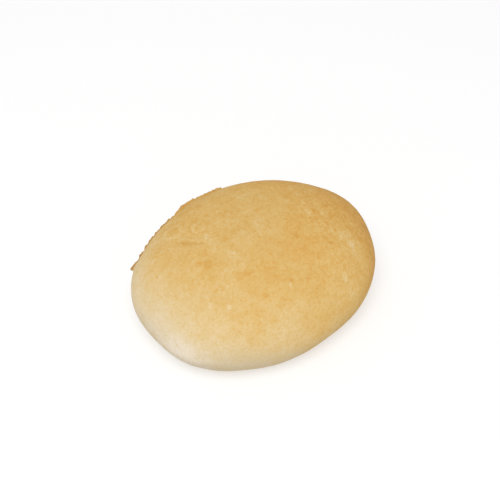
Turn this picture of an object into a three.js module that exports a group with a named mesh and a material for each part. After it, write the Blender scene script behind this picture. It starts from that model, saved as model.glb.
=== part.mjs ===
// A soft oval bread roll: one solid with a flat base, a heel that turns under, plump sides and a
// low, uneven crown. Millimetres, +Z up: X runs along the roll, Y across it, and the origin is the
// middle of the base.

import * as THREE from "three";

// Driving sizes, over all
const LENGTH = 110;
const WIDTH = 88;
const HEIGHT = 44;

// Upright section, as shares of the height and of the outline
const WAIST_SHARE = 0.36; // height of the widest line
const BASE_SHARE = 0.74; // flat base
const HEEL_FULLNESS = 2; // power of the section's curve: 2 is an ellipse, more is a squarer shoulder
const CROWN_FULLNESS = 2.3;

// Swells and flats of the outline, seen from above: the middle and half-spread in degrees from +X
// towards +Y, and the rise in millimetres, below zero for a flat
const OUTLINE_SWELLS = [
  { at: 4, spread: 12, rise: 0.7 },
  { at: 38, spread: 16, rise: -0.6 },
  { at: 130, spread: 12, rise: -0.6 },
  { at: 158, spread: 8, rise: 0.5 },
  { at: 186, spread: 12, rise: -1.7 },
  { at: 207, spread: 12, rise: 0.8 },
  { at: 291, spread: 15, rise: -0.8 },
  { at: 318, spread: 10, rise: 0.4 },
  { at: 349, spread: 8, rise: -0.8 },
];

// Hills and hollows of the crown: their place along and across the roll, half-spread and rise
const CROWN_HILLS = [
  { x: -14, y: 4, spread: 13, rise: 0.7 },
  { x: 24, y: -8, spread: 14, rise: 0.6 },
  { x: 5, y: 20, spread: 9, rise: -0.6 },
  { x: -30, y: 15, spread: 7, rise: -0.7 },
  { x: 8, y: -24, spread: 10, rise: -0.5 },
];

// Facets: slices around the roll, and rings up each stretch of the section
const SLICES = 96;
const BASE_RINGS = 3;
const HEEL_RINGS = 9;
const CROWN_RINGS = 20;

// Baked crust, golden and matte
const CRUST = new THREE.MeshStandardMaterial({ color: 0xd9b06a, roughness: 0.75, metalness: 0 });

// A bell curve: 1 in the middle, fading to nothing over about three spreads
function bell(distance, spread) {
  return Math.exp(-0.5 * (distance / spread) ** 2);
}

// One section from the middle of the base, out round the heel and up to the top of the crown.
// Its radius is a share of the outline, and its height is in millimetres.
function rollSection() {
  const waist = WAIST_SHARE * HEIGHT;
  const section = [];
  for (let i = 0; i < BASE_RINGS; i++) {
    section.push(new THREE.Vector2((BASE_SHARE * i) / BASE_RINGS, 0));
  }
  for (let i = 0; i < HEEL_RINGS; i++) {
    const turn = (i / HEEL_RINGS) * (Math.PI / 2);
    const out = Math.sin(turn) ** (2 / HEEL_FULLNESS);
    const up = 1 - Math.cos(turn) ** (2 / HEEL_FULLNESS);
    section.push(new THREE.Vector2(BASE_SHARE + (1 - BASE_SHARE) * out, waist * up));
  }
  for (let i = 0; i < CROWN_RINGS; i++) {
    const turn = (i / CROWN_RINGS) * (Math.PI / 2);
    const out = Math.cos(turn) ** (2 / CROWN_FULLNESS);
    const up = Math.sin(turn) ** (2 / CROWN_FULLNESS);
    section.push(new THREE.Vector2(out, waist + (HEIGHT - waist) * up));
  }
  section.push(new THREE.Vector2(0, HEIGHT));
  return section;
}

// How far the outline reaches from the middle at an angle: an ellipse with its swells and flats
function outlineReach(angle) {
  const halfLength = LENGTH / 2;
  const halfWidth = WIDTH / 2;
  const across = Math.hypot(halfWidth * Math.cos(angle), halfLength * Math.sin(angle));
  let reach = (halfLength * halfWidth) / across;
  for (const swell of OUTLINE_SWELLS) {
    const off = THREE.MathUtils.radToDeg(angle) - swell.at;
    const nearest = THREE.MathUtils.euclideanModulo(off + 180, 360) - 180;
    reach += swell.rise * bell(nearest, swell.spread);
  }
  return reach;
}

// How far the crown stands above or below its even dome at a place, fading out towards the waist
function crownRise(x, y, z) {
  const waist = WAIST_SHARE * HEIGHT;
  const fade = THREE.MathUtils.smoothstep(z, waist, HEIGHT);
  let rise = 0;
  for (const hill of CROWN_HILLS) {
    rise += hill.rise * bell(Math.hypot(x - hill.x, y - hill.y), hill.spread);
  }
  return rise * fade;
}

// Draws a round of unit radius out to the outline and lays the hills and hollows on its crown
function shapeRound(geometry) {
  const position = geometry.getAttribute("position");
  const point = new THREE.Vector3();
  for (let i = 0; i < position.count; i++) {
    point.fromBufferAttribute(position, i);
    const reach = outlineReach(Math.atan2(point.y, point.x));
    const x = point.x * reach;
    const y = point.y * reach;
    position.setXYZ(i, x, y, point.z + crownRise(x, y, point.z));
  }
}

// Brings the shape to its exact length, width and height, with its base centred on the origin
function fitToSize(geometry) {
  geometry.computeBoundingBox();
  const box = geometry.boundingBox;
  const middle = box.getCenter(new THREE.Vector3());
  const size = box.getSize(new THREE.Vector3());
  geometry.translate(-middle.x, -middle.y, -box.min.z);
  geometry.scale(LENGTH / size.x, WIDTH / size.y, HEIGHT / size.z);
}

function rollGeometry() {
  const geometry = new THREE.LatheGeometry(rollSection(), SLICES);
  geometry.rotateX(Math.PI / 2);
  shapeRound(geometry);
  fitToSize(geometry);
  geometry.computeVertexNormals();
  return geometry;
}

const roll = new THREE.Mesh(rollGeometry(), CRUST);
roll.name = "roll";

const breadRoll = new THREE.Group();
breadRoll.add(roll);

export default breadRoll;
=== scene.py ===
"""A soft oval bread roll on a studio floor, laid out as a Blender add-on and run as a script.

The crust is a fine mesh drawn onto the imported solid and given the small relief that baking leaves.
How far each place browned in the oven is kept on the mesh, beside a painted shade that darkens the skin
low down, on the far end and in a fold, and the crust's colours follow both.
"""

import math

import bmesh
import bpy
from bpy.props import FloatProperty, FloatVectorProperty, PointerProperty
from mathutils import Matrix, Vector, noise
from mathutils.bvhtree import BVHTree


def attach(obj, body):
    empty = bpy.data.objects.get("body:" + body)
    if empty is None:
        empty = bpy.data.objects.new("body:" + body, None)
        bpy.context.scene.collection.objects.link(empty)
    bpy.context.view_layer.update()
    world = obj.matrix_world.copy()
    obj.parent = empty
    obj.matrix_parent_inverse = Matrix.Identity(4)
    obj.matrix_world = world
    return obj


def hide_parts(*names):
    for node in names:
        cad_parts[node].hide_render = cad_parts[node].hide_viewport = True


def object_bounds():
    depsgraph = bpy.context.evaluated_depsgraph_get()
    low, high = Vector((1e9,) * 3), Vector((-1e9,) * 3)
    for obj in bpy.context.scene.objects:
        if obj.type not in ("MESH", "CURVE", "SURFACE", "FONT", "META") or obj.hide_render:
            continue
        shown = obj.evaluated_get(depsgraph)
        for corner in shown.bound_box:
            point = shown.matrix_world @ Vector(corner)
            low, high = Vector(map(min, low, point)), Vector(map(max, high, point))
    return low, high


bl_info = {
    "name": "Bread Roll",
    "version": (1, 0, 0),
    "blender": (4, 5, 0),
    "location": "View3D > Sidebar > Bread Roll",
    "description": "Builds a soft oval bread roll and the studio stage around it",
    "category": "Add Mesh",
}

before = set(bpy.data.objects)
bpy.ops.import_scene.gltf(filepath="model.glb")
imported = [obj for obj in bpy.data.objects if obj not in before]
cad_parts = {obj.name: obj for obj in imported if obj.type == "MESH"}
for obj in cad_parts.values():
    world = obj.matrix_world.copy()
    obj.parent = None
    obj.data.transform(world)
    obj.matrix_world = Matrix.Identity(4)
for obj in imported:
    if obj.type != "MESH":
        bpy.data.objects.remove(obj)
CAD_LOW, CAD_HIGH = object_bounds()

MM = 0.001
MM_PER_M = 1000.0

ROLL_NODE = "roll"
ROLL_BODY = "root"
CRUST_PIECE = "roll_crust"

# Values kept on the crust mesh's points
BROWNING = "browning"
MOTTLING = "mottling"
# painted shade: how far a grey tint darkens the skin at each point
PAINTED_SHADE = "shade_paint"
TEAR = "tear"

# Unless a line says otherwise, the values below are places and sizes in mm, and directions seen from
# above in degrees from +X towards +Y.

# Browning runs from 0, pale dough, to 1, well browned. Round the sides it swings from the end that
# stayed pale to the end that browned most, with some spots of its own.
SIDE_BROWNING = 0.53
SIDE_SWING = 0.31
PALEST_SIDE = 195
SIDE_SPOTS = [
    {"at": 162, "spread": 9, "change": -0.08},
    {"at": 185, "spread": 8, "change": -0.03},
    {"at": 205, "spread": 9, "change": -0.16},
    {"at": 255, "spread": 25, "change": 0.05},
    {"at": 275, "spread": 6, "change": 0.06},
    {"at": 302, "spread": 8, "change": -0.06},
    {"at": 335, "spread": 14, "change": 0.05},
    {"at": 0, "spread": 40, "change": 0.10},
]
# Between these heights the near side, the browned end and the back grow paler downwards, by these shares
HEEL_FROM, HEEL_TO = 8, 22
HEEL_SIDES = [
    {"at": 5, "spread": 25, "paling": 0.25},
    {"at": 70, "spread": 50, "paling": 0.55},
    {"at": 245, "spread": 24, "paling": 0.43},
]
CROWN_FROM, CROWN_TO = 17, 43  # heights between which the sides turn into the crown
CROWN_BROWNING = 0.64
CROWN_SLOPE = 0.0016  # change for each mm along the roll
PATCH_FROM, PATCH_TO = 14, 26  # heights between which the patches come in
CROWN_PATCHES = [
    {"x": 16, "y": -14, "spread": 9, "change": 0.06},
    {"x": 42, "y": 2, "spread": 9, "change": 0.09},
    {"x": 20, "y": 29, "spread": 9, "change": 0.06},
    {"x": -8, "y": -20, "spread": 7, "change": 0.06},
    {"x": -30, "y": 4, "spread": 8, "change": 0.03},
    {"x": -14, "y": 22, "spread": 9, "change": 0.06},
    {"x": 4, "y": 2, "spread": 7, "change": -0.04},
    {"x": 8, "y": 24, "spread": 8, "change": -0.03},
    {"x": -14, "y": -5, "spread": 6, "change": -0.04},
    {"x": 34, "y": -24, "spread": 6, "change": -0.08},
    {"x": 27, "y": -33, "spread": 4, "change": -0.05},
    {"x": 37, "y": -18, "spread": 3, "change": -0.08},
    {"x": 13, "y": 13, "spread": 5, "change": -0.05},
    {"x": -36, "y": 17, "spread": 9, "change": 0.06},
    {"x": -43, "y": -27, "spread": 5, "change": 0.05},
    {"x": -24, "y": -38, "spread": 5, "change": 0.06},
    {"x": -3, "y": -41, "spread": 6, "change": -0.06},
    {"x": 4, "y": -42, "spread": 4, "change": 0.05},
    {"x": -45, "y": 8, "spread": 3.5, "change": 0.05},
    {"x": -50, "y": -6, "spread": 4, "change": -0.05},
]
MOST_BROWNING = 0.88
BASE_BROWNING = 0.86
BASE_FROM, BASE_TO = 0.75, 0.98  # shares of facing straight down between which the base comes in
# Soft drifts of the browning over the whole skin
DRIFTS = [
    {"size": 11, "change": 0.03},
    {"size": 5, "change": 0.025},
]

# Painted shade: the skin is tinted darker downwards, starting higher on some sides, but not on one patch
# of the near side
SHADE_FROM, SHADE_TO = 21, 4
SHADE_SIDES = [
    {"at": 183, "spread": 14, "rise": 4.5},
    {"at": 228, "spread": 20, "rise": 9},
    {"at": 345, "spread": 28, "rise": 17},
    {"at": 30, "spread": 26, "rise": 18},
]
# the patch of the near side where no painted shade is laid
UNSHADED_PATCH = {"at": 206, "spread": 10, "from": 10.5, "to": 18.5}

# Pale skin is less mottled than browned skin, and two patches are more mottled than the rest
PALE_MOTTLING = 0.6
MOTTLED_FROM, MOTTLED_TO = 0.15, 0.6  # levels of browning between which it grows to its full strength
MOTTLED_PATCHES = [
    {"x": -18, "y": 16, "spread": 12, "change": 0.4},
    {"x": 34, "y": -10, "spread": 12, "change": 0.5},
]

# Small marks of the skin. Each is a spot, or a ring where it has a ring's radius.
FRECKLES = [
    {"x": -29, "y": -2, "spread": 2.3, "change": 0.14},
    {"x": -25.5, "y": -4.8, "spread": 3.2, "change": 0.17},
    {"x": -17, "y": -16, "spread": 2.4, "change": 0.11},
    {"x": -13.5, "y": -17, "spread": 2.8, "change": 0.07},
    {"x": -12, "y": -28, "spread": 2.2, "change": 0.13},
    {"x": 0.5, "y": -27, "spread": 1.7, "change": 0.13},
    {"x": 7, "y": -29.5, "spread": 1.5, "change": 0.12},
    {"x": 11, "y": -36, "spread": 1.6, "change": 0.10},
    {"x": 13.5, "y": -10.5, "spread": 1.4, "change": 0.14},
    {"x": 25.5, "y": -18, "spread": 1.4, "change": 0.14},
    {"x": 28.5, "y": -2, "spread": 2.4, "change": 0.13},
    {"x": 21.5, "y": 12.5, "spread": 3.0, "change": 0.13},
    {"x": -20, "y": 30, "spread": 2.4, "change": 0.12},
]
FLECKS = [
    {"x": -20, "y": 7.5, "spread": 1.0, "change": -0.25},
    {"x": -23.5, "y": 8, "spread": 0.9, "change": -0.18},
    {"x": -20, "y": 0.5, "spread": 1.0, "change": -0.16},
    {"x": -14.5, "y": -6, "spread": 1.1, "change": -0.16},
    {"x": 0.5, "y": -2.5, "spread": 1.0, "change": -0.18},
    {"x": -0.5, "y": -28.5, "spread": 1.1, "change": -0.20},
    {"x": -27.4, "y": -24.7, "spread": 1.8, "change": -0.16},
    {"x": -33.4, "y": -20.2, "spread": 1.8, "change": -0.12},
    {"x": 34.5, "y": -20.5, "spread": 2.4, "change": -0.11},
    {"x": 24, "y": -32, "spread": 2.2, "change": -0.13},
    {"x": 30.5, "y": -3, "spread": 1.2, "change": -0.14},
    {"x": 20, "y": 8.5, "spread": 1.2, "change": -0.12},
    {"x": -43.5, "y": 4.5, "spread": 1.2, "change": -0.12},
]
BLISTER_RINGS = [
    {"x": -19.2, "y": 15.4, "ring": 2.7, "spread": 0.9, "change": -0.12},
    {"x": -28.4, "y": 21.6, "ring": 3.6, "spread": 0.9, "change": -0.10},
]
BLISTER_RISE = 0.16
BLISTER_FROM, BLISTER_TO = 0.7, 1.15  # shares of its radius between which a blister falls away
BLISTER_WAVER = 0.25  # share of its radius
WAVER_SIZE = 3  # size of the wavering of the blisters' edges and the fold

# A shallow fold in the skin beside the blisters, with a low welt along its far side. Its groove is
# darkened with painted shade, its welt lightened with a painted highlight
FOLD_START, FOLD_END = (-30.3, 14.8), (-20.3, 3.8)
FOLD_IN_FROM, FOLD_IN_TO = -0.1, 0.2  # shares of its length between which it comes in
FOLD_OUT_FROM, FOLD_OUT_TO = 0.6, 1.1  # and fades out
FOLD_DEPTH = 0.35
FOLD_WIDTH = 0.6
FOLD_WAVER = 0.6
# painted shade: added browning that darkens the groove
FOLD_SHADE_BROWNING = 0.14
# painted shade: grey tint in the groove
FOLD_SHADE = 0.3
WELT_OFF = 2.4 * FOLD_WIDTH
WELT_WIDTH = 1.2 * FOLD_WIDTH
WELT_RISE = 0.6  # share of the fold's depth
# painted highlight: the welt is paler by this share of the groove's painted shade
WELT_HIGHLIGHT = 0.4  # share of the fold's browning

# The torn, browned lip of crust along the back. It sinks and wavers as it goes round, and the skin dips
# to it along its lower part.
LIP_START, LIP_END = 83.4, 154.8
LIP_FADE = 9
LIP_TOP = 31.2
LIP_SINK = 9.4
LIP_WAVER = 1.1
LIP_WAVER_SIZE = 6
LIP_JAG = 0.35
LIP_JAG_SIZE = 1.3
LIP_RADIUS = 46  # about how far the lip lies from the middle of the roll
LIP_FACING = -0.5  # the lip keeps off skin that faces further down than this
LEAST_STEEPNESS = 0.2  # skin that is nearer to level counts as this steep
FINE_ABOVE, FINE_BELOW = 1.5, 5  # how far the finer cells reach from the lip
FINE_PAST = 1  # degrees that they go on past its ends
FINE_CUTS = 3
DIP_START = 116
DIP_FADE = 4
DIP_DEPTH = 0.8
DIP_REACH = 3.5
EDGE_HEIGHT = 0.7
EDGE_LEAST = 0.35
EDGE_CREST = 0.12
EDGE_WALL = 0.45
EDGE_DROP = 0.4
EDGE_SWELL = {"at": 109, "spread": 5, "rise": 0.45}
EDGE_BROWN = 0.9
EDGE_BROWN_SWING = 0.4
EDGE_BROWN_SIZE = 3
EDGE_BROWN_FULL = 0.4  # share of the edge's height from which it has its full brown
EDGE_LIGHTER = 0.45  # share of the brown on the edge's upper part
SPIKE_START = 150  # from here to its end the lip draws out to a spike
SPIKE_RISE = 0.9
TOOTH_SPACING = 1.3
TOOTH_HEIGHT = 0.5
MARGIN_REACH = 11
MARGIN_BROWNING = 0.12

# The torn side just below the lip: stepped in, rough and less browned
TORN_DEPTH = 0.7
TORN_REACH = 7
TORN_WAVER = 0.35  # share of the reach
TORN_WAVER_SIZE = 9
TORN_ROUGHNESS = 0.2
TORN_BROWNING = 0.42
TORN_MOTTLING = 0.1
STRAND_WIDTH, STRAND_LENGTH = 0.9, 2.2
FINE_STRAND_WIDTH, FINE_STRAND_LENGTH = 0.5, 0.9

# The crust mesh and the relief all over it
MERGE_DISTANCE = 0.001
BASE_TOLERANCE = 0.01  # points no higher than this belong to the flat base
SAME_LEVEL = 1e-4  # share of the box's half size
SMOOTH_ROUNDS = 40
SWELL_SIZE, SWELL_FINE_SIZE = 19, 9
SWELL_FINE_SHARE = 0.5
PEBBLE_SIZE, PEBBLE_FINE_SIZE = 2.6, 1.4
FINE_SHARE = 0.6  # of finer unevenness, beside the coarser, where no other share is given
FINE_RUN = 2.5  # how much finer the finer unevenness along the lip is
RELIEF_FULL = 4  # height above the base from which the relief is full


def linear(hex_colour):
    """Turns an sRGB hex colour to the linear values that Blender's colours hold."""
    shares = [int(hex_colour[i:i + 2], 16) / 255 for i in (1, 3, 5)]
    return tuple(s / 12.92 if s <= 0.04045 else ((s + 0.055) / 1.055) ** 2.4 for s in shares)


def bell(distance, spread):
    """1 in the middle, fading to nothing over about three spreads."""
    return math.exp(-0.5 * (distance / spread) ** 2)


def smooth_step(value, low, high):
    """0 below low, 1 above high, and an even S between them."""
    share = min(1.0, max(0.0, (value - low) / (high - low)))
    return share * share * (3 - 2 * share)


def mix(first, second, share):
    """The first value at a share of 0, the second at 1."""
    return first + (second - first) * share


def plan_angle(place):
    """Direction of a place seen from above, from 0 to 360 degrees."""
    return math.degrees(math.atan2(place.y, place.x)) % 360


def turn_between(angle, other):
    """The shorter way round between two directions, in degrees."""
    return (angle - other + 180) % 360 - 180


def plan_distance(place, spot):
    """How far a place lies from a spot's middle, seen from above."""
    return math.hypot(place.x - spot["x"], place.y - spot["y"])


def sum_of_sides(angle, sides, name):
    """The named value of all sides together, each fading with the turn away from it."""
    return sum(side[name] * bell(turn_between(angle, side["at"]), side["spread"]) for side in sides)


def sum_of_patches(place, patches):
    """The change of all patches together, each fading with the distance from it."""
    return sum(patch["change"] * bell(plan_distance(place, patch), patch["spread"]) for patch in patches)


def unevenness(coarse, fine, fine_share=FINE_SHARE):
    """Noise at two places together, a coarser and a finer one, from about -1 to 1."""
    return noise.noise(coarse) + fine_share * noise.noise(fine)


class CrustSizes(bpy.types.PropertyGroup):
    """How fine the crust mesh is and how high its relief stands"""

    cell: FloatProperty(
        name="Cell", description="Width of one cell of the crust mesh",
        default=0.7 * MM, min=0.3 * MM, unit="LENGTH")
    swell: FloatProperty(
        name="Swell", description="Height of the broad, soft unevenness",
        default=0.3 * MM, unit="LENGTH")
    pebble: FloatProperty(
        name="Pebble", description="Height of the fine pebbling of the skin",
        default=0.045 * MM, unit="LENGTH")


class CrustColours(bpy.types.PropertyGroup):
    """Colours of the crust, from pale dough to well browned"""

    pale: FloatVectorProperty(
        name="Pale", description="Skin that the oven hardly coloured",
        default=linear("#ede1d0"), size=3, min=0, max=1, subtype="COLOR")
    cream: FloatVectorProperty(
        name="Cream", description="Pale sides",
        default=linear("#e2cfab"), size=3, min=0, max=1, subtype="COLOR")
    straw: FloatVectorProperty(
        name="Straw", description="Shoulders between the sides and the crown",
        default=linear("#e0c48f"), size=3, min=0, max=1, subtype="COLOR")
    gold: FloatVectorProperty(
        name="Gold", description="The crown's own colour",
        default=linear("#ddb66f"), size=3, min=0, max=1, subtype="COLOR")
    amber: FloatVectorProperty(
        name="Amber", description="Patches that browned more",
        default=linear("#dbaa5d"), size=3, min=0, max=1, subtype="COLOR")
    toast: FloatVectorProperty(
        name="Toast", description="The most browned skin",
        default=linear("#d39e50"), size=3, min=0, max=1, subtype="COLOR")
    brown: FloatVectorProperty(
        name="Brown", description="The torn lip",
        default=linear("#b38646"), size=3, min=0, max=1, subtype="COLOR")
    # Painted shade: this grey multiplies the skin wherever the painted shade value is set
    shade_tint: FloatVectorProperty(
        name="Heel tint", description="Tint of the duller skin that turns under to the base",
        default=linear("#e0e0e0"), size=3, min=0, max=1, subtype="COLOR")


class StageSettings(bpy.types.PropertyGroup):
    """Where the camera and the light stand"""

    azimuth: FloatProperty(
        name="Azimuth", description="Camera's turn about the roll, from the front",
        default=math.radians(-30.25), subtype="ANGLE")
    elevation: FloatProperty(
        name="Elevation", description="Camera's height above level",
        default=math.radians(50), subtype="ANGLE")
    distance: FloatProperty(
        name="Distance", description="From the camera to the point it aims at",
        default=509.9 * MM, unit="LENGTH")
    aim: FloatVectorProperty(
        name="Aim", description="Point that the camera looks at",
        default=(0.3 * MM, 5.9 * MM, 24.4 * MM), size=3, subtype="TRANSLATION")
    lens: FloatProperty(
        name="Lens", description="Focal length", default=85, unit="CAMERA")
    key_place: FloatVectorProperty(
        name="Key light's place", description="Where the soft light hangs",
        default=(-0.25, -0.29, 0.92), size=3, subtype="TRANSLATION")
    key_size: FloatProperty(
        name="Key light's size", description="Width of the soft light", default=0.6, unit="LENGTH")
    key_power: FloatProperty(
        name="Key light", description="Power of the soft light", default=4.9, unit="POWER")
    sky: FloatProperty(
        name="Surroundings", description="Brightness of the white surroundings overhead", default=0.53)
    horizon: FloatProperty(
        name="Horizon", description="Brightness of the surroundings level with the floor", default=0.85)
    floor_glow: FloatProperty(
        name="Floor glow", description="Light that the floor gives off, so that it stays white",
        default=0.53)


def merged_solid():
    """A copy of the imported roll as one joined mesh."""
    solid = bmesh.new()
    solid.from_mesh(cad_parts[ROLL_NODE].data)
    bmesh.ops.remove_doubles(solid, verts=solid.verts[:], dist=MERGE_DISTANCE * MM)
    return solid


def box_of_cells(bm, half_size, cell):
    """A box of two units a side, cut into cells that are even once it takes its size."""
    bmesh.ops.create_cube(bm, size=2)
    for axis in range(3):
        cuts = round(2 * half_size[axis] / cell) - 1
        along = [e for e in bm.edges if abs(e.verts[0].co[axis] - e.verts[1].co[axis]) > SAME_LEVEL]
        bmesh.ops.subdivide_edges(bm, edges=along, cuts=cuts, use_grid_fill=True)


def draw_onto_solid(bm, half_size, centre):
    """Draws the box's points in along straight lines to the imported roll's surface."""
    solid = merged_solid()
    tree = BVHTree.FromBMesh(solid, epsilon=MERGE_DISTANCE * MM)
    solid.free()
    for vert in bm.verts:
        # The tangent spaces the lines about evenly in angle
        spread = [h * math.tan(s * math.pi / 4) for h, s in zip(half_size, vert.co)]
        place = tree.ray_cast(centre, Vector(spread).normalized())[0]
        if place is None:
            raise RuntimeError("a point of the crust finds no surface on the packed roll")
        vert.co = place


def ease_facets(bm):
    """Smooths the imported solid's facets away, and keeps the flat base where it is."""
    above = [v for v in bm.verts if v.co.z > BASE_TOLERANCE * MM]
    for _ in range(SMOOTH_ROUNDS):
        bmesh.ops.smooth_vert(
            bm, verts=above, factor=0.5, use_axis_x=True, use_axis_y=True, use_axis_z=True)


def lip_run(angle):
    """How far round the back a direction lies, along the torn lip."""
    return math.radians(angle) * LIP_RADIUS


def lip_unevenness(angle, size):
    """Unevenness of the torn lip along its run, of a given size, from about -1 to 1."""
    run = lip_run(angle) / size
    # The last two values of each place only set the noises apart
    return unevenness(Vector((run, size, 0)), Vector((FINE_RUN * run, size, 1)))


def lip_offset(place, normal):
    """How far up the skin a place lies from the torn lip's line."""
    angle = plan_angle(place)
    along = (angle - LIP_START) / (LIP_END - LIP_START)
    level = LIP_TOP - LIP_SINK * along * abs(along)
    level += LIP_WAVER * lip_unevenness(angle, LIP_WAVER_SIZE)
    level += LIP_JAG * lip_unevenness(angle, LIP_JAG_SIZE)
    steepness = max(LEAST_STEEPNESS, math.hypot(normal.x, normal.y))
    return (place.z - level) / steepness


def refine_lip(bm):
    """Cuts the cells along the torn lip finer, so that they can hold its teeth."""
    edges = set()
    for face in bm.faces:
        place = face.calc_center_median() * MM_PER_M
        if LIP_START - FINE_PAST < plan_angle(place) < LIP_END + FINE_PAST:
            if -FINE_BELOW < lip_offset(place, face.normal) < FINE_ABOVE:
                edges.update(face.edges)
    bmesh.ops.subdivide_edges(bm, edges=list(edges), cuts=FINE_CUTS, use_grid_fill=True)


def edge_height(angle):
    """How far the torn edge stands above the skin beside it."""
    spike = max(0.0, (angle - SPIKE_START) / (LIP_END - SPIKE_START))
    height = EDGE_HEIGHT + TOOTH_HEIGHT * (1 - spike) * lip_unevenness(angle, TOOTH_SPACING)
    height += EDGE_SWELL["rise"] * bell(angle - EDGE_SWELL["at"], EDGE_SWELL["spread"])
    return max(EDGE_LEAST, height) + SPIKE_RISE * spike


def edge_section(off):
    """The torn edge cut across: 1 on its crest, falling to 0 at the foot of each wall."""
    return smooth_step(off, -EDGE_DROP, 0) * (1 - smooth_step(off, EDGE_CREST, EDGE_CREST + EDGE_WALL))


def on_lip(place, normal):
    """Whether the torn lip's run of the back takes in a place."""
    return LIP_START < plan_angle(place) < LIP_END and normal.z > LIP_FACING


def lip_fade(angle):
    """1 along the torn lip, fading to 0 at its ends."""
    start = smooth_step(angle, LIP_START, LIP_START + LIP_FADE)
    return start * (1 - smooth_step(angle, LIP_END - LIP_FADE, LIP_END))


def torn_share(angle, off):
    """How torn the side is: fully just below the lip, fading out further down."""
    reach = TORN_REACH * (1 + TORN_WAVER * lip_unevenness(angle, TORN_WAVER_SIZE))
    return lip_fade(angle) * smooth_step(-off, 0, EDGE_DROP) * (1 - smooth_step(-off, EDGE_DROP, reach))


def torn_strands(angle, off):
    """Unevenness of the torn side, drawn out down from the lip, from about -1 to 1."""
    run = lip_run(angle)
    # The last value of each place only sets the noises apart
    coarse = Vector((run / STRAND_WIDTH, off / STRAND_LENGTH, 4))
    fine = Vector((run / FINE_STRAND_WIDTH, off / FINE_STRAND_LENGTH, 8))
    return unevenness(coarse, fine)


def lip_dip(angle, off):
    """How far the skin dips to the torn edge, as a share, along the lip's lower part."""
    start = smooth_step(angle, DIP_START - DIP_FADE, DIP_START + DIP_FADE)
    above = bell(max(0.0, off), DIP_REACH)
    below = 1 - smooth_step(-off, 0, TORN_REACH)
    return start * lip_fade(angle) * above * below


def lip_relief(place, normal):
    """The torn lip's rise at a place."""
    if not on_lip(place, normal):
        return 0.0
    angle = plan_angle(place)
    off = lip_offset(place, normal)
    torn = TORN_ROUGHNESS * torn_strands(angle, off) - TORN_DEPTH
    edge = edge_height(angle) * edge_section(off)
    return torn * torn_share(angle, off) + edge - DIP_DEPTH * lip_dip(angle, off)


def lip_browning(place, normal, level):
    """Browning beside the torn lip: more along its upper margin, less on the torn side."""
    if not on_lip(place, normal):
        return level
    angle = plan_angle(place)
    off = lip_offset(place, normal)
    margin = smooth_step(off, -EDGE_DROP, 0) * (1 - smooth_step(off, 0, MARGIN_REACH))
    level += MARGIN_BROWNING * lip_fade(angle) * margin
    torn_level = TORN_BROWNING + TORN_MOTTLING * torn_strands(angle, off)
    return mix(level, torn_level, torn_share(angle, off))


def edge_brown(place, normal):
    """Share of the torn edge's brown at a place."""
    if not on_lip(place, normal):
        return 0.0
    angle = plan_angle(place)
    section = edge_section(lip_offset(place, normal))
    share = mix(EDGE_LIGHTER, 1, smooth_step(angle, DIP_START, DIP_START + DIP_FADE))
    share *= EDGE_BROWN + EDGE_BROWN_SWING * lip_unevenness(angle, EDGE_BROWN_SIZE)
    return min(1.0, share) * smooth_step(section, 0, EDGE_BROWN_FULL)


def fold_section(place):
    """The fold's groove, and the low welt along its far side, as shares at a place."""
    if place.z < CROWN_FROM:
        return 0.0, 0.0
    start = Vector(FOLD_START)
    along = Vector(FOLD_END) - start
    off = place.xy - start
    share = off.dot(along) / along.length_squared
    fade = smooth_step(share, FOLD_IN_FROM, FOLD_IN_TO)
    fade *= 1 - smooth_step(share, FOLD_OUT_FROM, FOLD_OUT_TO)
    across = along.normalized().cross(off) + FOLD_WAVER * noise.noise(place / WAVER_SIZE)
    groove = bell(across, FOLD_WIDTH)
    welt = bell(across - WELT_OFF, WELT_WIDTH)
    return fade * groove, fade * welt


def fold_relief(place):
    """The fold's sunk groove and raised welt."""
    groove, welt = fold_section(place)
    return FOLD_DEPTH * (WELT_RISE * welt - groove)


def blister_relief(place):
    """Low round blisters with a clear edge."""
    rise = 0.0
    if place.z < CROWN_FROM:
        return rise
    waver = BLISTER_WAVER * noise.noise(place / WAVER_SIZE)
    for blister in BLISTER_RINGS:
        away = plan_distance(place, blister) / blister["ring"] + waver
        rise += BLISTER_RISE * (1 - smooth_step(away, BLISTER_FROM, BLISTER_TO))
    return rise


def crust_relief(place, normal, sizes):
    """How far the skin stands out from the smooth roll at a place, in metres."""
    swell = unevenness(place / SWELL_SIZE, place / SWELL_FINE_SIZE, SWELL_FINE_SHARE)
    pebble = unevenness(place / PEBBLE_SIZE, place / PEBBLE_FINE_SIZE)
    marks = lip_relief(place, normal) + fold_relief(place) + blister_relief(place)
    return sizes.swell * swell + sizes.pebble * pebble + MM * marks


def side_browning(place):
    """Browning of the sides, by the direction that they face and their height."""
    angle = plan_angle(place)
    level = SIDE_BROWNING - SIDE_SWING * math.cos(math.radians(angle - PALEST_SIDE))
    level += sum_of_sides(angle, SIDE_SPOTS, "change")
    paling = sum_of_sides(angle, HEEL_SIDES, "paling")
    return level * (1 - paling * (1 - smooth_step(place.z, HEEL_FROM, HEEL_TO)))


def painted_crust_shade(place):
    """How much painted shade darkens the skin at a place: low down, higher on some sides, and in the
    fold's groove.
    """
    angle = plan_angle(place)
    top = SHADE_FROM + sum_of_sides(angle, SHADE_SIDES, "rise")
    unshaded = bell(turn_between(angle, UNSHADED_PATCH["at"]), UNSHADED_PATCH["spread"])
    unshaded *= smooth_step(place.z, UNSHADED_PATCH["from"], UNSHADED_PATCH["to"])
    groove = fold_section(place)[0]
    return (1 - smooth_step(place.z, SHADE_TO, top)) * (1 - unshaded) + FOLD_SHADE * groove


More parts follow.
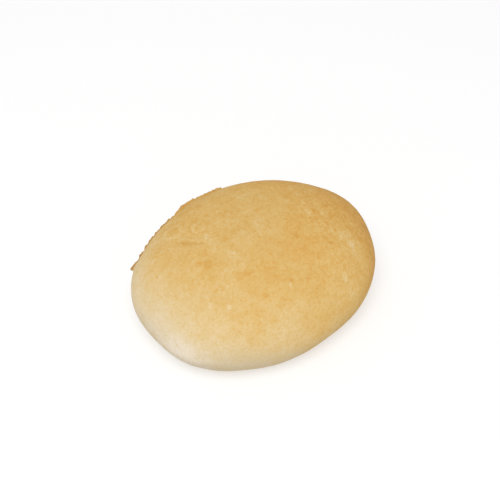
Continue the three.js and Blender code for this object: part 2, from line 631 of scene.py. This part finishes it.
def crust_browning(place, normal):
    """How far the oven browned a place."""
    crown = smooth_step(place.z, CROWN_FROM, CROWN_TO)
    level = mix(side_browning(place), CROWN_BROWNING + CROWN_SLOPE * place.x, crown)
    level += sum_of_patches(place, CROWN_PATCHES) * smooth_step(place.z, PATCH_FROM, PATCH_TO)
    level += sum(drift["change"] * noise.noise(place / drift["size"]) for drift in DRIFTS)
    groove, welt = fold_section(place)
    # Painted shade in the fold's groove, and a painted highlight on its welt
    level += FOLD_SHADE_BROWNING * (groove - WELT_HIGHLIGHT * welt)
    level = min(lip_browning(place, normal, level), MOST_BROWNING)
    return mix(level, BASE_BROWNING, smooth_step(-normal.z, BASE_FROM, BASE_TO))


def crust_mottling(place, level):
    """How mottled the skin is at a place: browned skin is more so than pale skin."""
    strength = mix(PALE_MOTTLING, 1, smooth_step(level, MOTTLED_FROM, MOTTLED_TO))
    return strength + sum_of_patches(place, MOTTLED_PATCHES)


def crust_mesh(sizes):
    """The crust as one closed mesh, with its browning, its painted shade and its other looks kept on its
    points.
    """
    half_size = (CAD_HIGH - CAD_LOW) / 2
    centre = (CAD_HIGH + CAD_LOW) / 2
    bm = bmesh.new()
    box_of_cells(bm, half_size, sizes.cell)
    draw_onto_solid(bm, half_size, centre)
    ease_facets(bm)
    bm.normal_update()
    refine_lip(bm)
    bm.normal_update()
    browning = bm.verts.layers.float.new(BROWNING)
    mottling = bm.verts.layers.float.new(MOTTLING)
    shade_paint = bm.verts.layers.float.new(PAINTED_SHADE)
    tear = bm.verts.layers.float.new(TEAR)
    for vert in bm.verts:
        place = vert.co * MM_PER_M
        vert[browning] = crust_browning(place, vert.normal)
        vert[mottling] = crust_mottling(place, vert[browning])
        vert[shade_paint] = painted_crust_shade(place)
        vert[tear] = edge_brown(place, vert.normal)
        if place.z > BASE_TOLERANCE:
            relief = crust_relief(place, vert.normal, sizes)
            vert.co += vert.normal * relief * smooth_step(place.z, 0, RELIEF_FULL)
    for face in bm.faces:
        face.smooth = True
    mesh = bpy.data.meshes.new(CRUST_PIECE)
    bm.to_mesh(mesh)
    bm.free()
    return mesh


def add_node(tree, kind, inputs=None, **settings):
    """Adds a node, with its settings and with values or links on its inputs."""
    node = tree.nodes.new(kind)
    for name, value in settings.items():
        setattr(node, name, value)
    for socket, value in (inputs or {}).items():
        if isinstance(value, bpy.types.NodeSocket):
            tree.links.new(value, node.inputs[socket])
        else:
            node.inputs[socket].default_value = value
    return node


# Mottles: their size in mm, the share of their noise that they show over, and the change in browning
MOTTLES = [
    {"size": 0.55, "over": (0.2, 0.8), "change": (-0.07, 0.07)},
    {"size": 1.2, "over": (0.25, 0.75), "change": (-0.045, 0.045)},
    {"size": 2.4, "over": (0.54, 0.62), "change": (-0.01, 0.05)},
    {"size": 3.2, "over": (0.55, 0.63), "change": (0.01, -0.05)},
    {"size": 6.5, "over": (0.25, 0.75), "change": (-0.05, 0.05)},
]
# Specks: their spacing and radius in mm, the share of them that shows, and the change in browning
SPECKS = [
    {"spacing": 3.2, "radius": 0.55, "share": 0.4, "change": -0.12},
    {"spacing": 4.0, "radius": 0.6, "share": 0.4, "change": 0.11},
]
# Streaks across the browned end: their width and length, and how far along the roll they come in
STREAK_WIDTH, STREAK_LENGTH = 1.3 * MM, 4.5 * MM
STREAK_FROM, STREAK_TO = 6 * MM, 30 * MM
STREAK_OVER = (0.5, 0.72)
STREAK_CHANGE = (0.02, -0.14)
STREAK_BEND = 0.8
# How far the marks' outlines wander, and the size of that
WANDER = 2.6 * MM
WANDER_SIZE = 2.0 * MM
SPOT_CORE = 0.3  # share of a speck's or a mark's spread at its full strength
MARK_SHADE = 0.18  # how much darker a full step of uneven browning is
# Levels of browning at which the skin reaches each colour past pale
COLOUR_STOPS = {"cream": 0.2, "straw": 0.4, "gold": 0.63, "amber": 0.82, "toast": 1.0}
# Browned skin is a little smoother than pale skin
PALE_LEVEL, BROWNED_LEVEL = 0.2, 0.9
PALE_ROUGHNESS, BROWNED_ROUGHNESS = 0.78, 0.58
CRUST_IOR = 1.45
CRUST_SPECULAR = 0.03
# The finest grain of the skin
GRAIN_SIZE = 0.5 * MM
GRAIN_HEIGHT = 0.08 * MM
GRAIN_STRENGTH = 0.3
# Where a node that mixes two colours has them, and their mix
MIX_FIRST, MIX_SECOND = 6, 7
MIX_RESULT = 2


def add_mottles(tree, place):
    """Uneven browning all over the skin."""
    total = 0.0
    for mottle in MOTTLES:
        pattern = add_node(tree, "ShaderNodeTexNoise", {
            "Vector": place, "Scale": 1 / (mottle["size"] * MM), "Detail": 2})
        low, high = mottle["over"]
        first, last = mottle["change"]
        shift = add_node(tree, "ShaderNodeMapRange", {
            "Value": pattern.outputs["Fac"], "From Min": low, "From Max": high,
            "To Min": first, "To Max": last}, interpolation_type="SMOOTHSTEP")
        total = add_node(tree, "ShaderNodeMath", {0: total, 1: shift.outputs[0]}).outputs[0]
    return total


def add_specks(tree, place):
    """Tiny pale bubbles and brown dots scattered over the skin."""
    total = 0.0
    for speck in SPECKS:
        spacing = speck["spacing"]
        cells = add_node(tree, "ShaderNodeTexVoronoi", {"Vector": place, "Scale": 1 / (spacing * MM)})
        radius = speck["radius"] / spacing
        spot = add_node(tree, "ShaderNodeMapRange", {
            "Value": cells.outputs["Distance"], "From Min": SPOT_CORE * radius, "From Max": radius,
            "To Min": speck["change"], "To Max": 0}, interpolation_type="SMOOTHSTEP")
        chance = add_node(tree, "ShaderNodeSeparateColor", {0: cells.outputs["Color"]})
        shown = add_node(tree, "ShaderNodeMath", {0: chance.outputs[0], 1: speck["share"]},
                         operation="LESS_THAN")
        total = add_node(tree, "ShaderNodeMath", {
            0: spot.outputs[0], 1: shown.outputs[0], 2: total}, operation="MULTIPLY_ADD").outputs[0]
    return total


def add_streaks(tree, place):
    """Fine pale streaks that run across the browned end of the roll."""
    narrow = 1 / STREAK_WIDTH
    drawn_out = add_node(tree, "ShaderNodeVectorMath", {
        0: place, 1: (narrow, 1 / STREAK_LENGTH, narrow)}, operation="MULTIPLY")
    pattern = add_node(tree, "ShaderNodeTexNoise", {
        "Vector": drawn_out.outputs[0], "Scale": 1, "Detail": 2, "Distortion": STREAK_BEND})
    low, high = STREAK_OVER
    first, last = STREAK_CHANGE
    shift = add_node(tree, "ShaderNodeMapRange", {
        "Value": pattern.outputs["Fac"], "From Min": low, "From Max": high,
        "To Min": first, "To Max": last}, interpolation_type="SMOOTHSTEP")
    along = add_node(tree, "ShaderNodeSeparateXYZ", {0: place}).outputs["X"]
    share = add_node(tree, "ShaderNodeMapRange", {
        "Value": along, "From Min": STREAK_FROM, "From Max": STREAK_TO}, interpolation_type="SMOOTHSTEP")
    streaks = add_node(tree, "ShaderNodeMath", {
        0: shift.outputs[0], 1: share.outputs[0]}, operation="MULTIPLY")
    return streaks.outputs[0]


def add_marks(tree, place):
    """The freckles, flecks and blister edges, at their places seen from above and with uneven outlines."""
    wander = add_node(tree, "ShaderNodeTexNoise", {"Vector": place, "Scale": 1 / WANDER_SIZE, "Detail": 1})
    nudge = add_node(tree, "ShaderNodeVectorMath", {
        0: wander.outputs["Color"], 1: (WANDER, WANDER, 0), 2: (-WANDER / 2, -WANDER / 2, 0)},
        operation="MULTIPLY_ADD")
    plan = add_node(tree, "ShaderNodeVectorMath", {0: place, 1: (1, 1, 0), 2: nudge.outputs[0]},
                    operation="MULTIPLY_ADD")
    total = 0.0
    for mark in FRECKLES + FLECKS + BLISTER_RINGS:
        away = add_node(tree, "ShaderNodeVectorMath", {
            0: plan.outputs[0], 1: (mark["x"] * MM, mark["y"] * MM, 0)}, operation="DISTANCE")
        off_ring = add_node(tree, "ShaderNodeMath", {
            0: away.outputs["Value"], 1: mark.get("ring", 0) * MM}, operation="SUBTRACT")
        off = add_node(tree, "ShaderNodeMath", {0: off_ring.outputs[0]}, operation="ABSOLUTE")
        spread = mark["spread"] * MM
        change = add_node(tree, "ShaderNodeMapRange", {
            "Value": off.outputs[0], "From Min": SPOT_CORE * spread, "From Max": spread,
            "To Min": mark["change"], "To Max": 0}, interpolation_type="SMOOTHSTEP")
        total = add_node(tree, "ShaderNodeMath", {0: total, 1: change.outputs[0]}).outputs[0]
    return total


def add_uneven_browning(tree, place):
    """The change in browning that the skin's mottles, specks, streaks and marks make."""
    strength = add_node(tree, "ShaderNodeAttribute", attribute_name=MOTTLING).outputs["Fac"]
    uneven = add_node(tree, "ShaderNodeMath", {0: add_mottles(tree, place), 1: add_specks(tree, place)})
    marks = add_node(tree, "ShaderNodeMath", {0: add_streaks(tree, place), 1: add_marks(tree, place)})
    change = add_node(tree, "ShaderNodeMath", {
        0: uneven.outputs[0], 1: strength, 2: marks.outputs[0]}, operation="MULTIPLY_ADD")
    return change.outputs[0]


def add_browned_colour(tree, level, colours):
    """The crust's colour at a level of browning."""
    ramp = add_node(tree, "ShaderNodeValToRGB", {"Fac": level})
    elements = ramp.color_ramp.elements
    elements.remove(elements[1])
    elements[0].position = 0
    elements[0].color = (*colours.pale, 1)
    for name, stop in COLOUR_STOPS.items():
        elements.new(stop).color = (*getattr(colours, name), 1)
    return ramp.outputs["Color"]


def crust_material(colours):
    """Oven-browned bread crust: a matte skin with a faint sheen, cream at the sides and golden on top,
    with painted shade low down.
    """
    material = bpy.data.materials.new("bread_crust")
    material.use_nodes = True
    tree = material.node_tree
    tree.nodes.clear()
    place = add_node(tree, "ShaderNodeTexCoord").outputs["Object"]
    browned = add_node(tree, "ShaderNodeAttribute", attribute_name=BROWNING).outputs["Fac"]
    uneven = add_uneven_browning(tree, place)
    level = add_node(tree, "ShaderNodeMath", {0: browned, 1: uneven}).outputs[0]
    shade = add_node(tree, "ShaderNodeMath", {0: uneven, 1: -MARK_SHADE, 2: 1}, operation="MULTIPLY_ADD")
    skin = add_node(tree, "ShaderNodeVectorMath", {
        0: add_browned_colour(tree, level, colours), "Scale": shade.outputs[0]}, operation="SCALE")
    # Painted shade: the skin is multiplied towards the grey tint by the painted shade value
    shade_amount = add_node(tree, "ShaderNodeAttribute", attribute_name=PAINTED_SHADE).outputs["Fac"]
    shade_tint = add_node(tree, "ShaderNodeMix", {
        0: shade_amount, MIX_FIRST: skin.outputs[0], MIX_SECOND: (*colours.shade_tint, 1)},
        data_type="RGBA", blend_type="MULTIPLY")
    torn = add_node(tree, "ShaderNodeAttribute", attribute_name=TEAR).outputs["Fac"]
    crust = add_node(tree, "ShaderNodeMix", {
        0: torn, MIX_FIRST: shade_tint.outputs[MIX_RESULT], MIX_SECOND: (*colours.brown, 1)},
        data_type="RGBA")
    roughness = add_node(tree, "ShaderNodeMapRange", {
        "Value": level, "From Min": PALE_LEVEL, "From Max": BROWNED_LEVEL,
        "To Min": PALE_ROUGHNESS, "To Max": BROWNED_ROUGHNESS})
    grain = add_node(tree, "ShaderNodeTexNoise", {"Vector": place, "Scale": 1 / GRAIN_SIZE, "Detail": 2})
    bump = add_node(tree, "ShaderNodeBump", {
        "Height": grain.outputs["Fac"], "Strength": GRAIN_STRENGTH, "Distance": GRAIN_HEIGHT})
    shader = add_node(tree, "ShaderNodeBsdfPrincipled", {
        "Base Color": crust.outputs[MIX_RESULT], "Roughness": roughness.outputs[0], "IOR": CRUST_IOR,
        "Specular IOR Level": CRUST_SPECULAR, "Normal": bump.outputs["Normal"]})
    add_node(tree, "ShaderNodeOutputMaterial", {"Surface": shader.outputs["BSDF"]})
    return material


class OBJECT_OT_bread_roll_crust(bpy.types.Operator):
    """Makes the roll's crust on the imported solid"""

    bl_idname = "object.bread_roll_crust"
    bl_label = "Crust"
    bl_options = {"REGISTER", "UNDO"}

    def execute(self, context):
        roll = bpy.data.objects.new(CRUST_PIECE, crust_mesh(context.scene.bread_roll_sizes))
        context.scene.collection.objects.link(roll)
        roll.data.materials.append(crust_material(context.scene.bread_roll_colours))
        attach(roll, ROLL_BODY)
        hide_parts(ROLL_NODE)
        return {"FINISHED"}


SENSOR_WIDTH = 36  # mm, of a full-frame camera
NEAREST_SEEN = 10 * MM
FLOOR_HALF = 4  # metres from the floor's middle to its sides
FLOOR_GREY = 0.5
FLOOR_ROUGHNESS = 0.9
# The horizon turns into the sky between these heights of a direction, where 1 is straight up
HORIZON_UP_TO, SKY_FROM = 0.08, 0.4


def aim_at(item, target):
    """Turns a camera or light to look at a point."""
    item.rotation_euler = (target - item.location).to_track_quat("-Z", "Y").to_euler()


def add_camera(context, stage):
    """The camera, at the set turn, height and distance from its aim."""
    data = bpy.data.cameras.new("camera")
    data.lens = stage.lens
    data.sensor_width = SENSOR_WIDTH
    data.clip_start = NEAREST_SEEN
    camera = bpy.data.objects.new("camera", data)
    context.scene.collection.objects.link(camera)
    level = math.cos(stage.elevation)
    back = Vector((
        math.sin(stage.azimuth) * level, -math.cos(stage.azimuth) * level, math.sin(stage.elevation)))
    aim = Vector(stage.aim)
    camera.location = aim + back * stage.distance
    aim_at(camera, aim)
    context.scene.camera = camera


def add_key_light(context, stage):
    """One broad soft light above the roll."""
    data = bpy.data.lights.new("key_light", "AREA")
    data.shape = "DISK"
    data.size = stage.key_size
    data.energy = stage.key_power
    light = bpy.data.objects.new("key_light", data)
    context.scene.collection.objects.link(light)
    light.location = stage.key_place
    aim_at(light, Vector((0, 0, CAD_HIGH.z / 2)))


def add_floor(context, stage):
    """A white studio floor that takes a faint shadow."""
    bm = bmesh.new()
    bmesh.ops.create_grid(bm, x_segments=1, y_segments=1, size=FLOOR_HALF)
    mesh = bpy.data.meshes.new("floor")
    bm.to_mesh(mesh)
    bm.free()
    floor = bpy.data.objects.new("floor", mesh)
    context.scene.collection.objects.link(floor)
    material = bpy.data.materials.new("white_studio_floor")
    material.use_nodes = True
    tree = material.node_tree
    tree.nodes.clear()
    shader = add_node(tree, "ShaderNodeBsdfPrincipled", {
        "Base Color": (FLOOR_GREY, FLOOR_GREY, FLOOR_GREY, 1), "Roughness": FLOOR_ROUGHNESS,
        "Emission Color": (1, 1, 1, 1), "Emission Strength": stage.floor_glow})
    add_node(tree, "ShaderNodeOutputMaterial", {"Surface": shader.outputs["BSDF"]})
    mesh.materials.append(material)


def add_surroundings(context, stage):
    """White surroundings, as bright as the floor at the horizon and dimmer above."""
    world = bpy.data.worlds.new("white_surroundings")
    context.scene.world = world
    world.use_nodes = True
    tree = world.node_tree
    tree.nodes.clear()
    direction = add_node(tree, "ShaderNodeTexCoord").outputs["Generated"]
    height = add_node(tree, "ShaderNodeSeparateXYZ", {0: direction}).outputs["Z"]
    strength = add_node(tree, "ShaderNodeMapRange", {
        "Value": height, "From Min": HORIZON_UP_TO, "From Max": SKY_FROM,
        "To Min": stage.horizon, "To Max": stage.sky}, interpolation_type="SMOOTHSTEP")
    background = add_node(tree, "ShaderNodeBackground", {
        "Color": (1, 1, 1, 1), "Strength": strength.outputs[0]})
    add_node(tree, "ShaderNodeOutputWorld", {"Surface": background.outputs[0]})


class SCENE_OT_bread_roll_stage(bpy.types.Operator):
    """Makes the floor, the light and the camera"""

    bl_idname = "scene.bread_roll_stage"
    bl_label = "Stage"
    bl_options = {"REGISTER", "UNDO"}

    def execute(self, context):
        stage = context.scene.bread_roll_stage
        add_floor(context, stage)
        add_surroundings(context, stage)
        add_key_light(context, stage)
        add_camera(context, stage)
        context.scene.view_settings.view_transform = "Standard"
        return {"FINISHED"}


class VIEW3D_PT_bread_roll(bpy.types.Panel):
    """Lists the pieces and their sizes and colours"""

    bl_label = "Bread Roll"
    bl_space_type = "VIEW_3D"
    bl_region_type = "UI"
    bl_category = "Bread Roll"

    def draw(self, context):
        layout = self.layout
        for group in SETTINGS:
            settings = getattr(context.scene, group)
            for name in settings.bl_rna.properties.keys():
                if name not in ("rna_type", "name"):
                    layout.prop(settings, name)
        for operator in OPERATORS:
            layout.operator(operator.bl_idname)


SETTINGS = {
    "bread_roll_sizes": CrustSizes,
    "bread_roll_colours": CrustColours,
    "bread_roll_stage": StageSettings,
}
OPERATORS = (OBJECT_OT_bread_roll_crust, SCENE_OT_bread_roll_stage)
CLASSES = (*SETTINGS.values(), *OPERATORS, VIEW3D_PT_bread_roll)


def register():
    """Registers the classes and puts the settings on the scene."""
    for kind in CLASSES:
        bpy.utils.register_class(kind)
    for name, group in SETTINGS.items():
        setattr(bpy.types.Scene, name, PointerProperty(type=group))


def unregister():
    """Takes the settings and the classes away again."""
    for name in SETTINGS:
        delattr(bpy.types.Scene, name)
    for kind in reversed(CLASSES):
        bpy.utils.unregister_class(kind)


def main():
    """Builds the roll and its stage."""
    register()
    bpy.ops.object.bread_roll_crust()
    bpy.ops.scene.bread_roll_stage()


if __name__ == "__main__":
    main()
